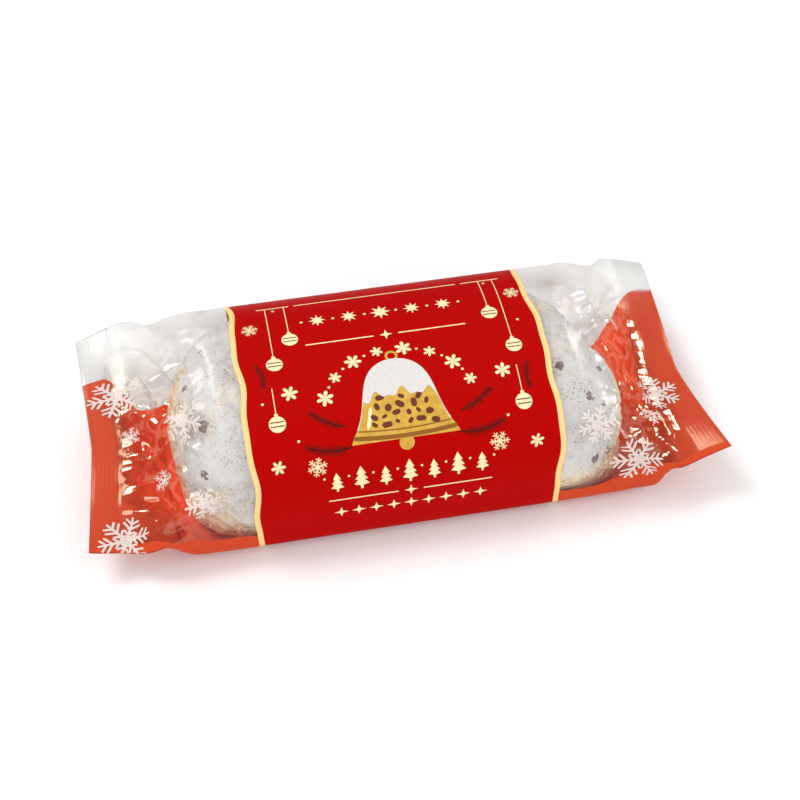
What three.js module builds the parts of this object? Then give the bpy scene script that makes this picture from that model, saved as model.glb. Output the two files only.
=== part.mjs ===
// A small Christmas stollen sealed in a pillow pack of clear printed film, lying on its flat base.
// The solid is the pack's outer shape: the film drawn round the loaf, sloping down past the loaf's
// ends to two flat crimped seals, with the folds that run from the loaf's corners to the seals.
// Millimetres, +Z up, X along the loaf. It is drawn round the middle of the loaf's base and then moved
// so that the origin lies under the middle of the whole pack.
import * as THREE from "three";
import { LoftGeometry } from "three/addons/geometries/LoftGeometry.js";

// The film drawn round the loaf
const bodyHalfWidth = 40;
const bodyHeight = 46;
const widestHeight = 14; // height of the widest place of the section
const topRoundness = 2.6; // exponents of the section's superellipse, 2 is round and more is squarer
const baseRoundness = 5.5;
const baseSunk = 0.8; // how far the lower curve would reach below the base that cuts it off
const topSlopeStart = 54; // where the film leaves the loaf's top and the middle of its base
const baseSlopeStart = 66;

// The fin seal under the pack, pressed flat
const finWidth = 9;
const grooveDepth = 0.5;
const grooveWidth = 2;

// The crimped seals, from their near corner (v = -1) to their far corner (v = 1). A tilt is how much
// higher the inner edge lies than the outer one, and the foot is how much further out the long edges
// of the base stay down than its middle.
const sealThickness = 1.2;
const crimpWidth = 12;
const ribPitch = 2;
const ribHeight = 0.3;
const leftSeal = {
  side: -1,
  nearY: -38.5,
  farY: 49.5,
  innermostX: 96,
  innermostV: -0.2,
  nearX: 99.5,
  farX: 99.8,
  nearZ: 13,
  middleZ: 19,
  farZ: 11.5,
  nearTilt: -3,
  farTilt: 6,
  foot: 1,
};
const rightSeal = {
  side: 1,
  nearY: -39.5,
  farY: 51,
  innermostX: 94.2,
  innermostV: -0.2,
  nearX: 101,
  farX: 99.2,
  nearZ: 20,
  middleZ: 18.5,
  farZ: 12,
  nearTilt: -6,
  farTilt: 4,
  foot: 16,
};

// Folds between the loaf and a seal. The places go round the section: 0 is the top's middle, -0.5 the
// near edge, 0.5 the far edge, 1 the base's middle. Height is outwards, so a negative one is a valley.
const folds = [
  { side: 1, from: 0.3, to: 0.44, height: 3, width: 0.12 },
  { side: 1, from: 0.17, to: 0.08, height: 2.6, width: 0.045 },
  { side: 1, from: 0.03, to: -0.08, height: -2, width: 0.06 },
  { side: 1, from: -0.12, to: -0.3, height: 2.4, width: 0.045 },
  { side: 1, from: -0.34, to: -0.42, height: -2, width: 0.05 },
  { side: 1, from: -0.6, to: -0.53, height: 4, width: 0.1 },
  { side: 1, from: 0.6, to: 0.53, height: 4, width: 0.1 },
  { side: -1, from: 0.3, to: 0.46, height: 4, width: 0.12 },
  { side: -1, from: 0.14, to: 0.12, height: -2.2, width: 0.06 },
  { side: -1, from: 0.02, to: -0.04, height: 1.8, width: 0.05 },
  { side: -1, from: -0.14, to: -0.2, height: -1.6, width: 0.05 },
  { side: -1, from: -0.34, to: -0.44, height: 2.6, width: 0.05 },
  { side: -1, from: -0.62, to: -0.53, height: 4, width: 0.12 },
  { side: -1, from: 0.62, to: 0.53, height: 4, width: 0.12 },
];
const bulge = 2.2; // how far the trapped air lifts the film halfway down a slope

// How finely the skin is cut
const pointsAround = 72;
const bodySections = 12;
const slopeSections = 10;
const outlineSteps = 1440;

const clamp01 = (x) => Math.min(1, Math.max(0, x));
const mix = (a, b, t) => a + (b - a) * t;
const signedPower = (x, p) => Math.sign(x) * Math.abs(x) ** p;

// The section round the loaf as points at equal steps of film, from the base's middle over the near
// side, the top and the far side back to the base.
function sectionOutline() {
  const points = [];
  for (let i = 0; i <= outlineSteps; i++) {
    const angle = -Math.PI / 2 - (i / outlineSteps) * 2 * Math.PI;
    const [c, s] = [Math.cos(angle), Math.sin(angle)];
    const roundness = s >= 0 ? topRoundness : baseRoundness;
    const rise = s >= 0 ? bodyHeight - widestHeight : widestHeight + baseSunk;
    const y = bodyHalfWidth * signedPower(c, 2 / roundness);
    const z = widestHeight + rise * signedPower(s, 2 / roundness);
    points.push(new THREE.Vector3(0, y, Math.max(z, 0)));
  }
  return points;
}

const outline = sectionOutline();
const lengths = [0];
outline.slice(1).forEach((p, i) => lengths.push(lengths[i] + p.distanceTo(outline[i])));
const filmRound = lengths.at(-1);

// A point of the section at place q round it, -1 and 1 both being the base's middle.
function bodyPoint(q) {
  const wanted = ((q + 1) / 2) * filmRound;
  const i = Math.max(1, lengths.findIndex((l) => l >= wanted - 1e-9));
  const t = (wanted - lengths[i - 1]) / (lengths[i] - lengths[i - 1]);
  return outline[i - 1].clone().lerp(outline[i], t);
}

// Where a place q of the tube lies across the flattened seal, and on which layer.
function acrossSeal(q) {
  const top = Math.abs(q) <= 0.5;
  return { v: top ? 2 * q : 2 * Math.sign(q) * (1 - Math.abs(q)), layer: top ? 1 : -1 };
}

// The seal's outer edge at v: its distance from the middle of the pack, its width and its height.
function sealEdge(seal, v) {
  const near = v < seal.innermostV;
  const reach = near
    ? (seal.innermostV - v) / (1 + seal.innermostV)
    : (v - seal.innermostV) / (1 - seal.innermostV);
  const x = mix(seal.innermostX, near ? seal.nearX : seal.farX, reach ** 1.25);
  const y = mix(seal.nearY, seal.farY, (v + 1) / 2);
  const z = mix(seal.middleZ, v < 0 ? seal.nearZ : seal.farZ, Math.abs(v) ** 1.8);
  const tilt = mix(0, v < 0 ? seal.nearTilt : seal.farTilt, Math.abs(v) ** 1.5);
  return { x, y, z, tilt };
}

function sealPoint(seal, q, inwards) {
  const { v, layer } = acrossSeal(q);
  const edge = sealEdge(seal, v);
  const onEdge = Math.abs(v) > 0.999;
  const rib = ribHeight * Math.cos((2 * Math.PI * inwards) / ribPitch) * (onEdge ? 0 : 1);
  const lift = onEdge ? 0 : (layer * sealThickness) / 2;
  const height = edge.z + edge.tilt * (inwards / crimpWidth);
  return new THREE.Vector3(seal.side * (edge.x - inwards), edge.y, height + lift + rib);
}

// The closed end of a seal: both layers meet on one line.
function sealTip(seal, q) {
  const edge = sealEdge(seal, acrossSeal(q).v);
  return new THREE.Vector3(seal.side * (edge.x + 0.2), edge.y, edge.z);
}

// The fin seal's free edge, as a groove in the flat base.
function baseGroove(y, z) {
  const aside = Math.abs(y - finWidth / 2) / (grooveWidth / 2);
  return z < 1 && aside < 1 ? grooveDepth * (1 - aside) : 0;
}

// The loaf's unevenness, as it shows through the film that lies on it.
function lumps(x, q) {
  const top = clamp01(1.4 - 2.2 * Math.abs(q));
  return top * (0.5 * Math.sin(x / 13 + 2 * q) + 0.3 * Math.sin(x / 7.5 - 6 * q + 1));
}

function bodySkin(x, q) {
  const p = bodyPoint(q);
  const lift = lumps(x, q) + baseGroove(p.y, p.z);
  return new THREE.Vector3(x, p.y, p.z + lift);
}

// How far the folds of one end stand out at place q, k of the way from the loaf to the seal.
function foldHeight(side, q, k) {
  const shown = Math.sin(Math.PI * k ** 1.1) ** 0.9;
  let height = 0;
  for (const fold of folds) {
    if (fold.side !== side) continue;
    const aside = Math.min(1, Math.abs(q - mix(fold.from, fold.to, k)) / fold.width);
    height += fold.height * (1 - aside) * (1 + aside * (1 - aside));
  }
  return height * shown;
}

// The slope between the loaf and a seal, k = 0 at the loaf and 1 at the seal.
function slopeSkin(seal, q, k) {
  const section = bodyPoint(q);
  const high = section.z / bodyHeight;
  const foot = seal.foot * Math.abs(section.y / bodyHalfWidth) ** 4 * (1 - high);
  const startX = mix(baseSlopeStart, topSlopeStart, high) + foot;
  const start = bodySkin(seal.side * startX, q);
  const end = sealPoint(seal, q, crimpWidth);
  const eased = k * k * (3 - 2 * k);
  const point = start.clone().lerp(end, k);
  point.y = mix(start.y, end.y, mix(k, eased, 0.3));
  point.z = mix(start.z, end.z, mix(k, eased, 0.5));
  const { v, layer } = acrossSeal(q);
  const swell = layer > 0 ? bulge * Math.sin(Math.PI * k) * (1 - v ** 4) : 0;
  const outwards = new THREE.Vector3(0, section.y, section.z - widestHeight).normalize();
  point.addScaledVector(outwards, swell + foldHeight(seal.side, q, k));
  point.z = Math.max(point.z, 0);
  return point;
}

// Places round the section, closer together at the edges, the top and the base's seam.
function placesAround() {
  const places = [];
  for (let i = 0; i < pointsAround; i++) {
    const t = -1 + (2 * i) / pointsAround;
    places.push(t - (0.35 * Math.sin(4 * Math.PI * t)) / (4 * Math.PI));
  }
  return places;
}

const around = placesAround().reverse();

function endSections(seal) {
  const sections = [around.map((q) => sealTip(seal, q))];
  const ribSteps = (2 * crimpWidth) / ribPitch;
  for (let i = 0; i <= ribSteps; i++)
    sections.push(around.map((q) => sealPoint(seal, q, (i / ribSteps) * crimpWidth)));
  for (let i = slopeSections - 1; i >= 0; i--)
    sections.push(around.map((q) => slopeSkin(seal, q, i / slopeSections)));
  return sections;
}

function loafSections() {
  const sections = [];
  for (let i = 1; i < bodySections; i++) {
    const t = -1 + (2 * i) / bodySections;
    sections.push(
      around.map((q) => {
        const startX = slopeSkin(rightSeal, q, 0).x;
        return bodySkin(t * startX, q);
      }),
    );
  }
  return sections;
}

function packMesh() {
  const sections = [
    ...endSections(leftSeal),
    ...loafSections(),
    ...endSections(rightSeal).reverse(),
  ];
  const film = new THREE.MeshStandardMaterial({ color: 0xb80705, roughness: 0.25, metalness: 0 });
  const mesh = new THREE.Mesh(new LoftGeometry(sections), film);
  mesh.name = "pack";
  const box = new THREE.Box3().setFromObject(mesh);
  const middle = box.getCenter(new THREE.Vector3());
  mesh.position.set(-middle.x, -middle.y, -box.min.z);
  return mesh;
}

const stollenPack = new THREE.Group();
stollenPack.add(packMesh());

export default stollenPack;
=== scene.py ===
import math
import time
import bmesh
import bpy
import numpy as np
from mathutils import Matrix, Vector


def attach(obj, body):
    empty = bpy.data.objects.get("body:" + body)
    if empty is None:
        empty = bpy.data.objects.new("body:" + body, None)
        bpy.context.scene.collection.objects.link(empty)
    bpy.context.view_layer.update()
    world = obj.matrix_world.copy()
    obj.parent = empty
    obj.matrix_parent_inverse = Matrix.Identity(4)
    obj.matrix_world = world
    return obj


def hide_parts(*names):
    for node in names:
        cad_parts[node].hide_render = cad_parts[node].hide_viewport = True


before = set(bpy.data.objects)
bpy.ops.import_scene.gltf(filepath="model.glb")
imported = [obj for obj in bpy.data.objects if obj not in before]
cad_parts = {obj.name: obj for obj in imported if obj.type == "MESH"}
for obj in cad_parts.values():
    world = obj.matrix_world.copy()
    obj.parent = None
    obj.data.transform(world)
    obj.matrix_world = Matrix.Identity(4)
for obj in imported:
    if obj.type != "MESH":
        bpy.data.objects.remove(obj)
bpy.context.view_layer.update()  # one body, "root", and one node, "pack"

startTime = time.time()
mm = 0.001  # sizes below are in millimetres
loafMiddle = np.array([-0.6, -5.05, 0.0])  # the middle of the loaf's base, in the shared frame


def note(text):
    print(f"{time.time() - startTime:6.1f} s  {text}")


def mix(a, b, t):
    return a + (b - a) * t


def smooth(t):
    t = np.clip(t, 0, 1)
    return t * t * (3 - 2 * t)


def addObject(name, data):
    obj = bpy.data.objects.new(name, data)
    bpy.context.collection.objects.link(obj)
    return obj


def newObject(name, verts, faces, material=None, smoothShade=True):
    mesh = bpy.data.meshes.new(name)
    mesh.from_pydata([tuple(v) for v in verts], [], [tuple(f) for f in faces])
    mesh.polygons.foreach_set("use_smooth", [smoothShade] * len(mesh.polygons))
    if material:
        mesh.materials.append(material)
    return addObject(name, mesh)


def vertexVectors(mesh, field="co"):
    values = np.empty(3 * len(mesh.vertices), np.float32)
    mesh.vertices.foreach_get(field, values)
    return values.reshape(-1, 3)


# from millimetres round the loaf's base to metres in the shared frame
def toFrame(points):
    return ((points + loafMiddle) * mm).reshape(-1, 3)


# quads of a grid whose columns close round; the faces point outwards where the columns run
# from the base over the near side to the top and the rows run towards +X
def ringFaces(rows, cols):
    i, j = np.meshgrid(np.arange(rows - 1), np.arange(cols), indexing="ij")
    nextJ = (j + 1) % cols
    corners = [i * cols + j, (i + 1) * cols + j, (i + 1) * cols + nextJ, i * cols + nextJ]
    return np.stack(corners, -1).reshape(-1, 4)


# directions out of such a grid
def ringNormals(points):
    around = (np.roll(points, -1, 1) - np.roll(points, 1, 1)) / 2
    out = np.cross(np.gradient(points, axis=0), around)
    return out / (np.linalg.norm(out, axis=-1, keepdims=True) + 1e-9)


# places round the film, called q: 0 is the middle of the top, -0.5 the near edge, 0.5 the far edge and
# 1 the middle of the base
def placesRound(cols):
    return -1 + 2 * np.arange(cols) / cols


# smooth random lumps, about 1 high, that never repeat over the loaf's or the film's size
def lumps(points, size, seed, layers=3, gain=0.5):
    rng = np.random.default_rng(seed)
    total = np.zeros(points.shape[:-1])
    for layer in range(layers):
        for _ in range(10):
            way = rng.normal(size=3)
            way *= rng.uniform(0.6, 1.4) / np.linalg.norm(way) * 2 * np.pi / size
            total += gain ** layer * np.sin(points @ way + rng.uniform(0, 2 * np.pi)) / 10 ** 0.5
        size *= 0.47
    return total


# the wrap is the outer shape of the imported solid, worked out again from its own sizes
wrap = {
    "halfWidth": 40.0, "height": 46.0, "widest": 14.0,  # section round the loaf
    "topRound": 2.6, "baseRound": 5.5, "sunk": 0.8,
    "topSlope": 54.0, "baseSlope": 66.0,  # where the film leaves the loaf
    "crimp": 12.0, "halfLength": 106.0, "bulge": 2.2,
    "base": 0.35,  # the film's height over the table, room for the fin seal
}
sealStart = wrap["halfLength"] - wrap["crimp"]  # along the film, from its middle

seals = {
    -1: {"nearY": -38.5, "farY": 49.5, "inX": 96.0, "inV": -0.2, "nearX": 99.5, "farX": 99.8,
         "nearZ": 13.0, "midZ": 19.0, "farZ": 11.5, "nearTilt": -3.0, "farTilt": 6.0, "foot": 1.0},
    1: {"nearY": -39.5, "farY": 51.0, "inX": 94.2, "inV": -0.2, "nearX": 101.0, "farX": 99.2,
        "nearZ": 20.0, "midZ": 18.5, "farZ": 12.0, "nearTilt": -6.0, "farTilt": 4.0, "foot": 16.0},
}

# broad ridges between loaf and seal: end, place round the film at the loaf and at the seal, height, width
ridges = [
    (1, 0.3, 0.44, 1.0, 0.12), (1, 0.6, 0.53, 4.0, 0.1), (1, -0.6, -0.53, 4.0, 0.1),
    (-1, 0.3, 0.46, 1.0, 0.12), (-1, 0.62, 0.53, 4.0, 0.12), (-1, -0.62, -0.53, 4.0, 0.12),
]


def sectionOutline(steps=2880):
    angle = -math.pi / 2 - np.linspace(0, 2 * math.pi, steps + 1)
    c, s = np.cos(angle), np.sin(angle)
    roundness = np.where(s >= 0, wrap["topRound"], wrap["baseRound"])
    rise = np.where(s >= 0, wrap["height"] - wrap["widest"], wrap["widest"] + wrap["sunk"])
    y = wrap["halfWidth"] * np.sign(c) * np.abs(c) ** (2 / roundness)
    z = np.maximum(wrap["widest"] + rise * np.sign(s) * np.abs(s) ** (2 / roundness), wrap["base"])
    return y, z


outlineY, outlineZ = sectionOutline()
outlineLength = np.concatenate([[0], np.cumsum(np.hypot(np.diff(outlineY), np.diff(outlineZ)))])
filmRound = outlineLength[-1]  # length of film once round the loaf


def bodyPoint(q):
    at = (q + 1) / 2 * filmRound
    return np.interp(at, outlineLength, outlineY), np.interp(at, outlineLength, outlineZ)


def sealPoint(side, q, inwards, gap=0.15):
    seal = seals[side]
    v = np.where(np.abs(q) <= 0.5, 2 * q, 2 * np.sign(q) * (1 - np.abs(q)))
    layer = np.where(np.abs(q) <= 0.5, 1.0, -1.0)
    near = v < seal["inV"]
    reach = np.where(near, (seal["inV"] - v) / (1 + seal["inV"]), (v - seal["inV"]) / (1 - seal["inV"]))
    x = mix(seal["inX"], np.where(near, seal["nearX"], seal["farX"]), reach ** 1.25)
    y = mix(seal["nearY"], seal["farY"], (v + 1) / 2)
    z = mix(seal["midZ"], np.where(v < 0, seal["nearZ"], seal["farZ"]), np.abs(v) ** 1.8)
    tilt = np.where(v < 0, seal["nearTilt"], seal["farTilt"]) * np.abs(v) ** 1.5
    z = z + tilt * inwards / wrap["crimp"] + layer * gap * (np.abs(v) < 0.999)
    z = z + 0.35 * np.sin(7 * v + side) * smooth(inwards / 3 + 0.4)
    return np.stack([side * (x - inwards), y, z], -1)


def slopeStart(side, q):
    y, z = bodyPoint(q)
    high = z / wrap["height"]
    foot = seals[side]["foot"] * np.abs(y / wrap["halfWidth"]) ** 4 * (1 - high)
    return mix(wrap["baseSlope"], wrap["topSlope"], high) + foot


def slopePoint(side, q, k):
    bodyY, bodyZ = bodyPoint(q)
    last = sealPoint(side, q, wrap["crimp"])
    x = mix(side * slopeStart(side, q), last[..., 0], k)
    y = mix(bodyY, last[..., 1], mix(k, smooth(k), 0.3))
    z = mix(bodyZ, last[..., 2], mix(k, smooth(k), 0.5))
    swell = np.where(np.abs(q) <= 0.5, wrap["bulge"] * np.sin(np.pi * k) * (1 - (2 * q) ** 4), 0)
    for end, atLoaf, atSeal, height, width in ridges:
        aside = np.minimum(1, np.abs(q - mix(atLoaf, atSeal, k)) / width)
        shown = np.sin(np.pi * np.clip(k, 0, 1) ** 1.1) ** 0.9 * (end == side)
        swell = swell + height * shown * (1 - aside) * (1 + aside * (1 - aside))
    outY, outZ = bodyY, bodyZ - wrap["widest"]
    far = np.hypot(outY, outZ)
    return np.stack([x, y + swell * outY / far, np.maximum(z + swell * outZ / far, wrap["base"])], -1)


# u is the length along the film from its middle in millimetres, q the place round it
def wrapPoint(u, q):
    bodyY, bodyZ = bodyPoint(q)
    points = np.stack([u, bodyY, bodyZ], -1)
    for side in (-1, 1):
        start = slopeStart(side, q)
        out = side * u
        slope = slopePoint(side, q, np.clip((out - start) / (sealStart - start), 0, 1))
        crimp = sealPoint(side, q, np.clip(wrap["halfLength"] - out, 0, wrap["crimp"]))
        points = np.where((out > start)[..., None], slope, points)
        points = np.where((out > sealStart)[..., None], crimp, points)
    return points


loafShape = {
    "left": -71.5, "right": 70.5, "fit": 0.968, "skew": 0.1,
    "nearEnds": 4.6, "farEnds": 3.2,  # how square the ends are on the near and the far side
    "rows": 300, "cols": 300, "seed": 11,
    "foldPlace": 0.2, "foldDepth": 1.6, "foldWidth": 0.09,  # the long fold along the top
    "lumps": ((0.9, 34, 0.5), (0.3, 5, 0.75)),  # height, size and gain of each kind
    "dips": (0.5, 16, 0.9),  # depth, size, and how few there are
}
# how thickly icing sugar lies: thin low on the sides, in the dips, in some patches and at the ends
icing = {
    "from": 2, "over": 22, "patches": 0.14, "patchSize": 22, "bumps": 0.1,
    "ends": 0.24, "endsFrom": 0.84, "endsOver": 0.14,
}

polar = np.arctan2(outlineZ, outlineY)
byAngle = np.argsort(polar)
polarAngle, polarReach = polar[byAngle], np.hypot(outlineY, outlineZ)[byAngle]
loafHalf = (loafShape["right"] - loafShape["left"]) / 2
loafCentre = np.array([(loafShape["right"] + loafShape["left"]) / 2, 0, 0])


def endSquareness(y, z):
    return mix(loafShape["nearEnds"], loafShape["farEnds"], smooth(0.5 + y / (np.hypot(y, z) + 1e-6)))


# 1 on the loaf's smooth skin, less inside it
def loafDepth(points):
    along = np.abs(points[..., 0] + loafShape["skew"] * points[..., 1] - loafCentre[0]) / loafHalf
    angle = np.arctan2(np.maximum(points[..., 2], 0), points[..., 1])
    across = np.hypot(points[..., 1], points[..., 2])
    across = across / np.interp(angle, polarAngle, polarReach) / loafShape["fit"]
    n = endSquareness(points[..., 1], points[..., 2])
    return (across ** n + along ** n) ** (1 / n)


def loafSkin():
    rows, cols = loafShape["rows"], loafShape["cols"]
    # a profile from end to end, its rows evenly spaced, then made as square as each side needs
    turn = np.linspace(-np.pi / 2, np.pi / 2, 4001)
    profile = np.stack([np.sin(turn), np.cos(turn)], -1)
    profile /= (np.abs(profile) ** 4).sum(-1, keepdims=True) ** 0.25
    length = np.hypot(*np.diff(profile * (loafHalf, wrap["halfWidth"]), axis=0).T)
    length = np.concatenate([[0], np.cumsum(length)])
    at = np.linspace(0, length[-1], rows + 1)
    along, size = (np.interp(at, length, profile[:, k])[:, None] for k in (0, 1))
    q = np.broadcast_to(placesRound(cols), (rows + 1, cols))
    y, z = bodyPoint(q)
    n = endSquareness(y, z)
    out = (np.abs(along) ** n + np.abs(size) ** n) ** (-1 / n)
    along, size = along * out, size * out * loafShape["fit"]
    y, z = size * y, size * (z - wrap["base"]) + wrap["base"] + 0.2
    x = loafCentre[0] + loafHalf * along - loafShape["skew"] * y
    points = np.stack([x, y, z], -1)
    # crust and icing are uneven everywhere but on the flat underside
    top = smooth((z - 0.8) / 5)
    outY, outZ = y, z - 0.3 * wrap["height"]
    outX = 0.5 * (x - loafCentre[0]) * np.abs(along) ** 6
    out = np.stack([outX, outY, outZ], -1)
    out /= np.linalg.norm(out, axis=-1, keepdims=True) + 1e-6
    seed = loafShape["seed"]
    rough = sum(high * lumps(points, size, seed + k, 3, gain)
                for k, (high, size, gain) in enumerate(loafShape["lumps"]))
    aside = (q - loafShape["foldPlace"] - 0.02 * np.sin(x / 17)) / loafShape["foldWidth"]
    rough -= loafShape["foldDepth"] * np.exp(-aside ** 2)
    depth, size, few = loafShape["dips"]
    rough -= depth * smooth(lumps(points, size, seed + 2, 2) - few)
    points += out * (np.minimum(rough, 0.5) * top)[..., None]
    return points, rough, q


def addLoaf(material):
    points, rough, q = loafSkin()
    rows, cols = points.shape[:2]
    poles = points[[0, -1]].mean(1)
    body = points[1:-1].reshape(-1, 3)
    faces = list(ringFaces(rows - 2, cols))
    first, last, end = len(body), len(body) + 1, (rows - 3) * cols
    faces += [(first, j, (j + 1) % cols) for j in range(cols)]
    faces += [(last, end + (j + 1) % cols, end + j) for j in range(cols)]
    obj = newObject("loaf", toFrame(np.vstack([body, poles])), faces, material)
    x, _, height = np.vstack([body, poles]).T
    patches = np.append(lumps(body, icing["patchSize"], loafShape["seed"] + 5, 3), [0, 0])
    bumps = np.append(rough[1:-1].reshape(-1), [0, 0])
    ends = smooth((np.abs(x - loafCentre[0]) / loafHalf - icing["endsFrom"]) / icing["endsOver"])
    thick = smooth((height - icing["from"]) / icing["over"])
    thick += icing["patches"] * patches + icing["bumps"] * bumps - icing["ends"] * ends
    sugar = obj.data.attributes.new("sugar", "FLOAT", "POINT")
    sugar.data.foreach_set("value", thick.astype(np.float32))
    return obj


# raisins that show in the crust; those seen are given by their place along and round the loaf
raisins = {
    "count": 34, "seed": 4, "size": (1.6, 2.8), "sunk": 0.54, "apart": 11.0,
    "along": (-68, 66), "round": (-0.62, 0.62), "stretched": 1.25, "flattened": 0.62,
    "skin": ((0.06, 0.026, 0.016), (0.20, 0.09, 0.05)), "dust": 0.3,
    "seen": [(-65, 0.04), (-60, -0.17), (-62, -0.33), (57, -0.26), (62, -0.29), (63, -0.47), (59, -0.49)],
}


def raisinShape():
    mesh = bpy.data.meshes.new("raisin")
    ball = bmesh.new()
    bmesh.ops.create_icosphere(ball, subdivisions=4, radius=1.0)
    for vert in ball.verts:
        place = np.array(vert.co)
        wrinkle = 0.10 * lumps(place, 1.5, 31, 2) - 0.09 * abs(float(lumps(place, 0.75, 32, 2, 0.8)))
        vert.co *= 1 + wrinkle
        vert.co.x *= raisins["stretched"]
        vert.co.z *= raisins["flattened"]
    ball.to_mesh(mesh)
    ball.free()
    mesh.polygons.foreach_set("use_smooth", [True] * len(mesh.polygons))
    return addObject("raisin", mesh)


def raisinMaterial():
    material = newMaterial("raisinSkin")
    place = objectPlace()
    skin = blend(cloud(place, 1.6, 3, 0.6, 0.3, 0.7), *raisins["skin"])
    dust = above(cloud(place, 2.4, 3, 0.6, 0.25, 0.75), 0.45, 0.9)
    colour = blend(times(dust, raisins["dust"]), skin, crust["sugar"])
    bump = relief(cloud(place, 0.8, 2), 0.5, 0.3)
    return endMaterial(material, principled(colour, 0.62, 0.25, {"Normal": bump}))


# the tree that sets a raisin on each point, lying flat in the crust
def raisinTree():
    given = newTree("raisinsInCrust", {"Geometry": "Geometry", "Raisin": "Object", "Skin": "Material"})
    turn = addNode("ShaderNodeCombineXYZ", {2: attribute("turn")}).outputs[0]
    first = addNode("FunctionNodeEulerToRotation", {0: turn}).outputs[0]
    upright = addNode("FunctionNodeAlignRotationToVector", {
        "Rotation": first, "Vector": attribute("out", "FLOAT_VECTOR")}, axis="Z").outputs[0]
    real = scatter(given["Geometry"], given["Raisin"], upright, attribute("size"))
    return endTree(real, given["Skin"])


def addRaisins(loaf):
    rng = np.random.default_rng(raisins["seed"])
    rows, cols = loafShape["rows"] - 1, loafShape["cols"]
    verts = vertexVectors(loaf.data) / mm

    def skinAt(x, q):
        col = int(round((q + 1) / 2 * cols)) % cols
        row = int(np.abs(verts[col:rows * cols:cols, 0] - loafMiddle[0] - x).argmin())
        return row * cols + col

    places = [skinAt(x, q) for x, q in raisins["seen"]]
    while len(places) < raisins["count"]:
        spot = skinAt(rng.uniform(*raisins["along"]), rng.uniform(*raisins["round"]))
        if min(np.linalg.norm(verts[spot] - verts[other]) for other in places) > raisins["apart"]:
            places.append(spot)
    size = rng.uniform(*raisins["size"], len(places))
    out = vertexVectors(loaf.data, "normal")[places]
    points = (verts[places] - out * size[:, None] * raisins["sunk"]) * mm
    source = raisinShape()
    laid = runTree(raisinTree(), points, [
        ("size", "FLOAT", size * mm), ("turn", "FLOAT", rng.uniform(0, 2 * np.pi, len(places))),
        ("out", "FLOAT_VECTOR", out)], {"Raisin": source})
    bpy.data.objects.remove(source)
    return newObject("raisins", *laid, raisinMaterial())


film = {
    "cols": 64, "rows": 68, "seed": 5,  # the coarsest grid, doubled twice
    "narrow": 0.94,  # how much less film there is round the seals than round the loaf
    "tightness": 0.88,  # how closely it keeps to the wrap on the far side and at the near foot
    "tight": 46.0, "loose": 60.0,  # up to here the film clings to the loaf, from here it is free
    "clear": 0.03, "rise": 0.75,  # room over the loaf, and the film's slope under its ends
    "narrowFrom": 54, "narrowOver": 38,
    "clings": (0.3, 0.004),  # how hard it clings where it is tight and where it is loose
    "ribPitch": 1.3, "ribHeight": 0.014, "ribRows": 5,
}
creases = {
    "seed": 21, "count": 14, "spacing": (7, 24), "steep": 0.085,
    "sealSpacing": 6.0, "sealSteep": 0.11, "sealReach": 13.0,
}
# single folds: from (u, w) to (u, w), height, half width
folds = [
    ((-66, -45), (-89, -52), 1.5, 3.4), ((-90, 36), (-76, 24), 0.7, 3.5), ((-76, 24), (-56, 20), 0.7, 3.5),
    ((59, -3), (96, 9), 2.2, 4.5), ((66, -26), (85, -28), 1.5, 2.6), ((85, -28), (93, -48), 1.5, 2.6),
    ((86, 38), (67, 12), 1.0, 4.0), ((-70, -15), (-94, -36), 1.4, 3.5), ((-62, 16), (-92, 4), 0.8, 3.5),
    ((60, -45), (92, -36), 1.4, 3.0),
]
filmPasses = [
    {"turns": 260, "bend": 0.05, "shake": 1.1, "fine": 0.1, "finest": 0.35},
    {"turns": 160, "bend": 0.04, "shake": 0.3, "fine": 0.25, "finest": 0.8},
    {"turns": 60, "bend": 0.05, "shake": 0.06, "fine": 0.6, "finest": 1.5},
]


def ripples(u, q, rng, low, high):
    total = np.zeros_like(u)
    count = 10
    for _ in range(count):
        turns = rng.integers(1, 14)
        total += np.sin(u * rng.uniform(low, high) + np.pi * q * turns + rng.uniform(0, 2 * np.pi))
    return total / count ** 0.5


# where the film lies over the flat base, and not on it
def overBase(cols):
    return bodyPoint(placesRound(cols))[1] > wrap["base"] + 0.4


# pushes the film off the loaf; under the loaf it lies flat, and past its ends it rises gently
def keepOff(points, over, least, moves=1):
    depth = np.maximum(loafDepth(points), least)
    out = np.where(over, np.maximum((1 + film["clear"]) / depth - 1, 0), 0)[..., None]
    points += (points - loafCentre) * out * moves
    most = wrap["base"] + film["rise"] * loafHalf * np.maximum(depth - 1 - film["clear"], 0)
    z = points[..., 2]
    points[..., 2] = np.maximum(np.where(over, z, np.minimum(z, most)), wrap["base"])


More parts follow.
